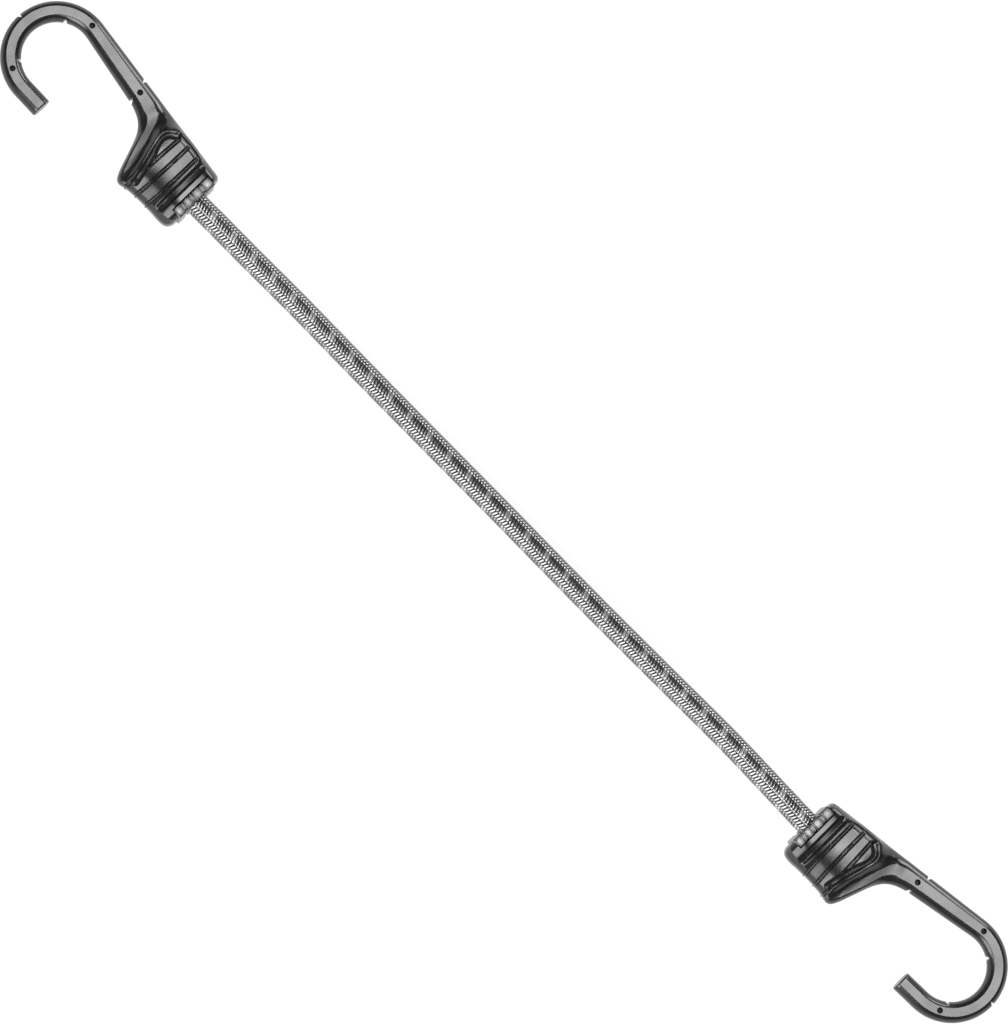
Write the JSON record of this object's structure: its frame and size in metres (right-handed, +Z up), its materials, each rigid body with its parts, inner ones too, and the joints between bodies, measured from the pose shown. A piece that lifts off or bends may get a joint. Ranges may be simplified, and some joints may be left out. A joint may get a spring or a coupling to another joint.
{
  "type": "bungee cord",
  "caption": "Elastic cord with a braided cover and a moulded, steel-cored hook crimped on each end, lying flat.",
  "frame": {"origin": "on the surface that the cord lies on, under the middle of the whole part", "axes": "+X along the cord towards the right hook, +Y towards the straight backs of the hooks, +Z up"},
  "size_m": [0.45, 0.0372, 0.017],
  "materials": {
    "hook_plastic": "satin moulded nylon, nearly black",
    "collar_plastic": "satin moulded plastic, dark grey",
    "core_steel": "drawn wire, dull",
    "ferrule_steel": "pressed and crimped, dull zinc",
    "cover_yarn": "braided polyester yarn with a white tracer",
    "strand_rubber": "natural latex, matt"
  },
  "bodies": {
    "left_hook": {"left_hook_moulding": "hook_plastic", "left_steel_core": "core_steel", "left_mouth_collar": "collar_plastic", "left_crimp_ferrule": "ferrule_steel", "braided_cover": "cover_yarn", "rubber_strand_01": "strand_rubber", "rubber_strand_02": "strand_rubber", "rubber_strand_03": "strand_rubber", "rubber_strand_04": "strand_rubber", "rubber_strand_05": "strand_rubber", "rubber_strand_06": "strand_rubber", "rubber_strand_07": "strand_rubber", "rubber_strand_08": "strand_rubber", "rubber_strand_09": "strand_rubber", "rubber_strand_10": "strand_rubber", "rubber_strand_11": "strand_rubber", "rubber_strand_12": "strand_rubber", "rubber_strand_13": "strand_rubber", "rubber_strand_14": "strand_rubber", "rubber_strand_15": "strand_rubber", "rubber_strand_16": "strand_rubber", "rubber_strand_17": "strand_rubber", "rubber_strand_18": "strand_rubber", "rubber_strand_19": "strand_rubber"},
    "right_hook": {"right_hook_moulding": "hook_plastic", "right_steel_core": "core_steel", "right_mouth_collar": "collar_plastic", "right_crimp_ferrule": "ferrule_steel"}
  },
  "joints": [
    {"name": "cord_stretch", "type": "slide", "parent": "left_hook", "child": "right_hook", "axis": [1, 0, 0], "range_m": [0, 0.22], "stiffness_N_per_m": 450, "deforming": ["braided_cover", "rubber_strand_01", "rubber_strand_02", "rubber_strand_03", "rubber_strand_04", "rubber_strand_05", "rubber_strand_06", "rubber_strand_07", "rubber_strand_08", "rubber_strand_09", "rubber_strand_10", "rubber_strand_11", "rubber_strand_12", "rubber_strand_13", "rubber_strand_14", "rubber_strand_15", "rubber_strand_16", "rubber_strand_17", "rubber_strand_18", "rubber_strand_19"]}
  ]
}
